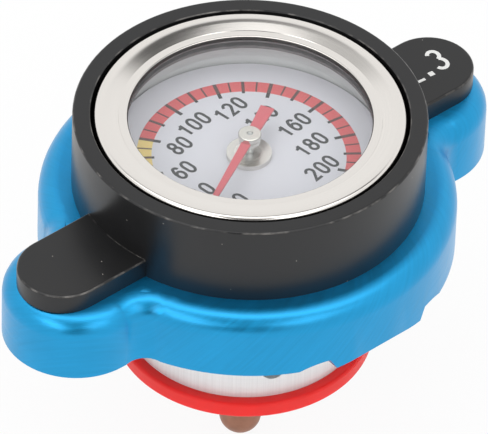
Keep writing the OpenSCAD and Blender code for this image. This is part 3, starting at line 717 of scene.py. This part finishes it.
class CAP_OT_dial(bpy.types.Operator):
    """Finishes the dial and prints its bands, lines and figures"""
    bl_idname = "cap.dial"
    bl_label = "Dial"

    def execute(self, context):
        colours, sizes = context.scene.cap_colours, context.scene.cap_dial
        dress(printed_enamel("stoved_enamel_pale", tuple(colours.dial), 0.4), "dial_plate")
        dress(turned_metal("nickel_plated_brass_turned", "#dedbd6", 0.12, 0.2, 0.32), "dial_boss")
        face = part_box("dial_plate")[1].z
        middle_r = (sizes.band_in + sizes.band_out) / 2
        band_w = sizes.band_out - sizes.band_in
        high = face + sizes.ink_t

        def at(value, radius):
            turn = sizes.up - sizes.step * (value - sizes.middle)
            return radius * math.cos(turn), radius * math.sin(turn)

        for name, start, end, tint in (("hot_band", sizes.hot, sizes.high, colours.hot),
                                       ("warm_band", sizes.warm, sizes.hot, colours.warm)):
            mesh = bmesh.new()
            ribbon(mesh, [at(v, middle_r) for v in range(start, end + 1)], band_w, face, high)
            make_piece(name, mesh, "cap")
            dress(printed_enamel("screen_ink_" + name, tuple(tint), 0.45), name)

        mesh = bmesh.new()
        over = high + sizes.ink_t / 2
        for value in range(sizes.low, sizes.high + 1, LINE_EVERY):
            inner, wide = sizes.ten_in, sizes.ten_w
            if value % TEN_EVERY:
                inner, wide = sizes.band_in, sizes.five_w
            elif value % FIGURE_EVERY == 0:
                inner, wide = sizes.main_in, sizes.main_w
            ribbon(mesh, [at(value, r) for r in (inner, sizes.band_in, sizes.band_out)], wide, face, over)
        make_piece("scale_lines", mesh, "cap")
        dress(scale_ink(tuple(colours.ink), sizes.band_in), "scale_lines")

        mesh = bmesh.new()
        text_turn = sizes.up - math.pi / 2
        for value in range(FIRST_FIGURE, sizes.high + 1, FIGURE_EVERY):
            text = str(value)
            lean = sizes.step * (value - sizes.middle)
            half_w = (number_width(text) * sizes.figure_h + sizes.line) / 2
            reach = min(half_w / max(abs(math.sin(lean)), LEAST_SLOPE),
                        sizes.figure_h / 2 / max(abs(math.cos(lean)), LEAST_SLOPE))
            shift = Matrix.Rotation(text_turn, 2) @ Vector((FIGURE_SHIFT.get(value, 0), -FIGURE_DROP))
            middle = Vector(at(value, sizes.figure_out - reach)) + shift
            write_number(mesh, text, middle, text_turn, sizes.figure_h, sizes.line, face, high)
        make_piece("scale_figures", mesh, "cap")
        dress(printed_enamel("screen_ink_dark", tuple(colours.ink), 0.5), "scale_figures")
        return {"FINISHED"}


class CAP_OT_pointer(bpy.types.Operator):
    """Finishes the pointer, its hub and the spindle"""
    bl_idname = "cap.pointer"
    bl_label = "Pointer"

    def execute(self, context):
        dress(pointer_enamel(tuple(context.scene.cap_colours.pointer)), "pointer")
        dress(turned_metal("nickel_plated_hub", "#dedbd4", 0.1, 0.14, 0.24), "pointer_hub")
        dress(spring_wire("ground_steel_pin", "#b9bbbc"), "spindle")
        smooth(35, "pointer_hub")
        return {"FINISHED"}


class CAP_OT_stem(bpy.types.Operator):
    """Finishes the probe, its coil and the bush that holds the gauge"""
    bl_idname = "cap.stem"
    bl_label = "Probe and bush"

    def execute(self, context):
        dress(worn_copper(tuple(context.scene.cap_colours.probe)), "probe_tube")
        dress(spring_wire("bimetal_strip_rolled", "#b48f58"), "bimetal_coil")
        dress(turned_metal("nickel_plated_brass_bush", "#c8c3b4", 0.2), "stem_bush", "stem_nut")
        dress(moulded_rubber("nitrile_rubber_ring", "#202021"), "stem_o_ring")
        dress(spring_wire("spring_steel_clip", "#9c9fa0"), "stem_clip")
        smooth(75, "bimetal_coil")
        return {"FINISHED"}


class CAP_OT_neck_seal(bpy.types.Operator):
    """Finishes the neck gasket and the spring disc behind it"""
    bl_idname = "cap.neck_seal"
    bl_label = "Neck seal"

    def execute(self, context):
        dress(moulded_rubber("epdm_rubber_black", "#1a1a1b"), "neck_gasket")
        dress(drawn_steel("rolled_spring_steel", "#bfc1c2", 0.2, 0.38), "diaphragm_spring")
        return {"FINISHED"}


class CAP_OT_valve(bpy.types.Operator):
    """Finishes the pressure valve and the vacuum valve inside it, and puts copies of their springs in their place
    """
    bl_idname = "cap.valve"
    bl_label = "Valves"

    def execute(self, context):
        colours = context.scene.cap_colours
        dress(satin_cup(tuple(colours.cup)), "valve_cup")
        dress(red_silicone(tuple(colours.seal)), "pressure_seal")
        dress(drawn_steel("zinc_plated_steel", "#c1c2c0"), "seal_cage", "spring_seat")
        dress(spring_wire("spring_steel_wire", "#a9abad"), "pressure_spring", "vacuum_spring")
        dress(turned_metal("pressed_brass", "#c9a45a", 0.2), "vacuum_disc")
        dress(moulded_rubber("nitrile_rubber_valve", "#222223"), "vacuum_seal")
        smooth(35, "pressure_seal")
        # The copies take the wire's finish with them; one is held at its top, the other at its foot
        shorten("pressure_spring", "valve_swivel")
        shorten("vacuum_spring", "pressure_valve")
        smooth(75, "pressure_spring_wire", "vacuum_spring_wire")
        return {"FINISHED"}


def set_camera(scene, sizes, right, back):
    """Puts the camera where the photo was taken from."""
    up = back.cross(right)
    rolled = right * math.cos(sizes.roll) + up * math.sin(sizes.roll)
    aim = right * AIM_RIGHT + Vector((0, 0, AIM_UP))
    camera = bpy.data.objects.new("camera", bpy.data.cameras.new("camera"))
    axes = Matrix((rolled, back.cross(rolled), back)).transposed()
    camera.matrix_world = Matrix.Translation(aim + back * sizes.reach) @ axes.to_4x4()
    camera.data.sensor_width = SENSOR_W
    camera.data.lens = sizes.lens
    scene.collection.objects.link(camera)
    scene.camera = camera


def lay_floor(scene):
    """Lays white studio paper under the cap, which the camera and reflections see as almost plain white."""
    mesh = bmesh.new()
    bmesh.ops.create_circle(mesh, cap_ends=True, segments=FLOOR_SIDES, radius=FLOOR_R)
    data = bpy.data.meshes.new("floor")
    mesh.to_mesh(data)
    mesh.free()
    floor = bpy.data.objects.new("floor", data)
    floor.location.z = CAD_BOX[0].z
    scene.collection.objects.link(floor)
    material, tree, shader, place = finish("studio_paper_white", Roughness=0.9)
    cloud = grain(tree, place, (40, 40, 40), 3.0)
    feed(tree, shader, {"Base Color": tone(tree, cloud, colour("#f2f2f2"), 0.99, 1.0)})
    glow = add(tree, "Emission", shade(colour("#ffffff")), 1.0)
    path = add(tree, "LightPath").outputs
    either = add(tree, "Math", path["Is Camera Ray"], path["Is Glossy Ray"], operation="MAXIMUM")
    plain = add(tree, "Math", either, FLOOR_PLAIN, operation="MULTIPLY")
    show(tree, add(tree, "MixShader", plain, shader, glow))
    data.materials.append(material)


def pitch_tent(scene, sizes, right, near):
    """Surrounds the cap with a pale tent with a seam and a gap, and shows plain white to the camera."""
    scene.world = bpy.data.worlds.new("studio")
    scene.world.use_nodes = True
    tree = scene.world.node_tree
    tree.nodes.clear()
    direction = add(tree, "TexCoord").outputs["Generated"]
    height = add(tree, "SeparateXYZ", direction).outputs["Z"]
    width, depth = (add(tree, "VectorMath", direction, way, operation="DOT_PRODUCT") for way in (right, -near))

    rising = add(tree, "MapRange", height, 0, 1, sizes.low_light, sizes.high_light)
    around = add(tree, "Math", rising, add(tree, "MapRange", depth, -1, 1, *NEAR_FAR), operation="MULTIPLY")

    seam_high = add(tree, "MapRange", height, *SEAM_HEIGHT, 0, 1)
    seam_far = add(tree, "MapRange", depth, *SEAM_DEPTH, 0, 1)
    in_seam = add(tree, "Math", seam_high, seam_far, operation="MULTIPLY")
    seam_light = add(tree, "MapRange", width, *SEAM_WIDTH, sizes.seam_left, sizes.seam)
    seam = add(tree, "MapRange", in_seam, 0, 1, 1.0, seam_light)

    aside = add(tree, "Math", width, operation="ABSOLUTE")
    in_gap = 1.0
    for value, fade in ((height, GAP_HEIGHT), (depth, GAP_DEPTH), (aside, GAP_WIDTH)):
        in_gap = add(tree, "Math", in_gap, add(tree, "MapRange", value, *fade, 1, 0), operation="MULTIPLY")
    gap = add(tree, "MapRange", in_gap, 0, 1, 1.0, sizes.gap)

    # Reflections show the tent's walls; its light on the cap also fades with height and depth
    walls = add(tree, "Math", gap, seam, operation="MULTIPLY")
    dimmed = add(tree, "Math", around, walls, operation="MULTIPLY")
    soft, tent, white = (add(tree, "Background", shade(colour("#ffffff")), strength)
                         for strength in (dimmed, walls, 1.0))
    path = add(tree, "LightPath").outputs
    seen = add(tree, "Math", path["Is Camera Ray"], path["Is Transmission Ray"], operation="MAXIMUM")
    inner = add(tree, "MixShader", path["Is Glossy Ray"], soft, tent)
    add(tree, "OutputWorld", add(tree, "MixShader", seen, inner, white))


def hang_lamps(scene, sizes, right, near, back):
    """Hangs the softboxes, and a bounced light by the camera that is too diffuse to show in reflections."""
    rows = [(name + "_softbox", right * place[0] + near * place[1] + Vector((0, 0, place[2])), size,
             getattr(sizes, name)) for name, (place, size) in SOFTBOXES.items()]
    bounce = ("front_bounce", back * BOUNCE_REACH, BOUNCE_SIZE, sizes.front)
    for name, place, size, watts in (*rows, bounce):
        lamp = bpy.data.lights.new(name, "AREA")
        lamp.shape = "RECTANGLE"
        lamp.size, lamp.size_y = size
        lamp.energy = watts
        out = place.normalized()
        across = near.cross(out).normalized()
        axes = Matrix((across, out.cross(across), out)).transposed()
        piece = bpy.data.objects.new(name, lamp)
        piece.visible_glossy = name != bounce[0]
        piece.matrix_world = Matrix.Translation(place) @ axes.to_4x4()
        scene.collection.objects.link(piece)


class CAP_OT_stage(bpy.types.Operator):
    """Makes the floor, the soft light and the camera"""
    bl_idname = "cap.stage"
    bl_label = "Stage"

    def execute(self, context):
        scene, sizes = context.scene, context.scene.cap_stage
        scene.view_settings.view_transform = "Standard"
        right = Vector((math.cos(sizes.turn), math.sin(sizes.turn), 0))
        near = Vector((math.sin(sizes.turn), -math.cos(sizes.turn), 0))
        back = near * math.cos(sizes.tilt) + Vector((0, 0, math.sin(sizes.tilt)))
        set_camera(scene, sizes, right, back)
        lay_floor(scene)
        pitch_tent(scene, sizes, right, near)
        hang_lamps(scene, sizes, right, near, back)
        return {"FINISHED"}


class CAP_PT_panel(bpy.types.Panel):
    """Lists the cap's pieces and its stage"""
    bl_idname = "CAP_PT_panel"
    bl_label = "Radiator Cap Thermometer"
    bl_space_type = "VIEW_3D"
    bl_region_type = "UI"
    bl_category = "Cap"

    def draw(self, context):
        for operator in PIECES:
            self.layout.operator(operator.bl_idname)


PIECES = (CAP_OT_stage, CAP_OT_shell, CAP_OT_collar, CAP_OT_gauge, CAP_OT_dial, CAP_OT_pointer, CAP_OT_stem,
          CAP_OT_neck_seal, CAP_OT_valve)
GROUPS = {"cap_colours": CapColours, "cap_dial": DialSizes, "cap_stage": StageSizes}


def register():
    """Adds the cap's properties, operators and panel."""
    for item in (*GROUPS.values(), *PIECES, CAP_PT_panel):
        bpy.utils.register_class(item)
    for name, group in GROUPS.items():
        setattr(bpy.types.Scene, name, PointerProperty(type=group))


def unregister():
    """Takes the cap's properties, operators and panel away."""
    for name in GROUPS:
        delattr(bpy.types.Scene, name)
    for item in (CAP_PT_panel, *reversed(PIECES), *reversed(GROUPS.values())):
        bpy.utils.unregister_class(item)


def main():
    """Makes the whole scene."""
    register()
    for operator in PIECES:
        getattr(bpy.ops.cap, operator.bl_idname.split(".")[1])()


if __name__ == "__main__":
    main()
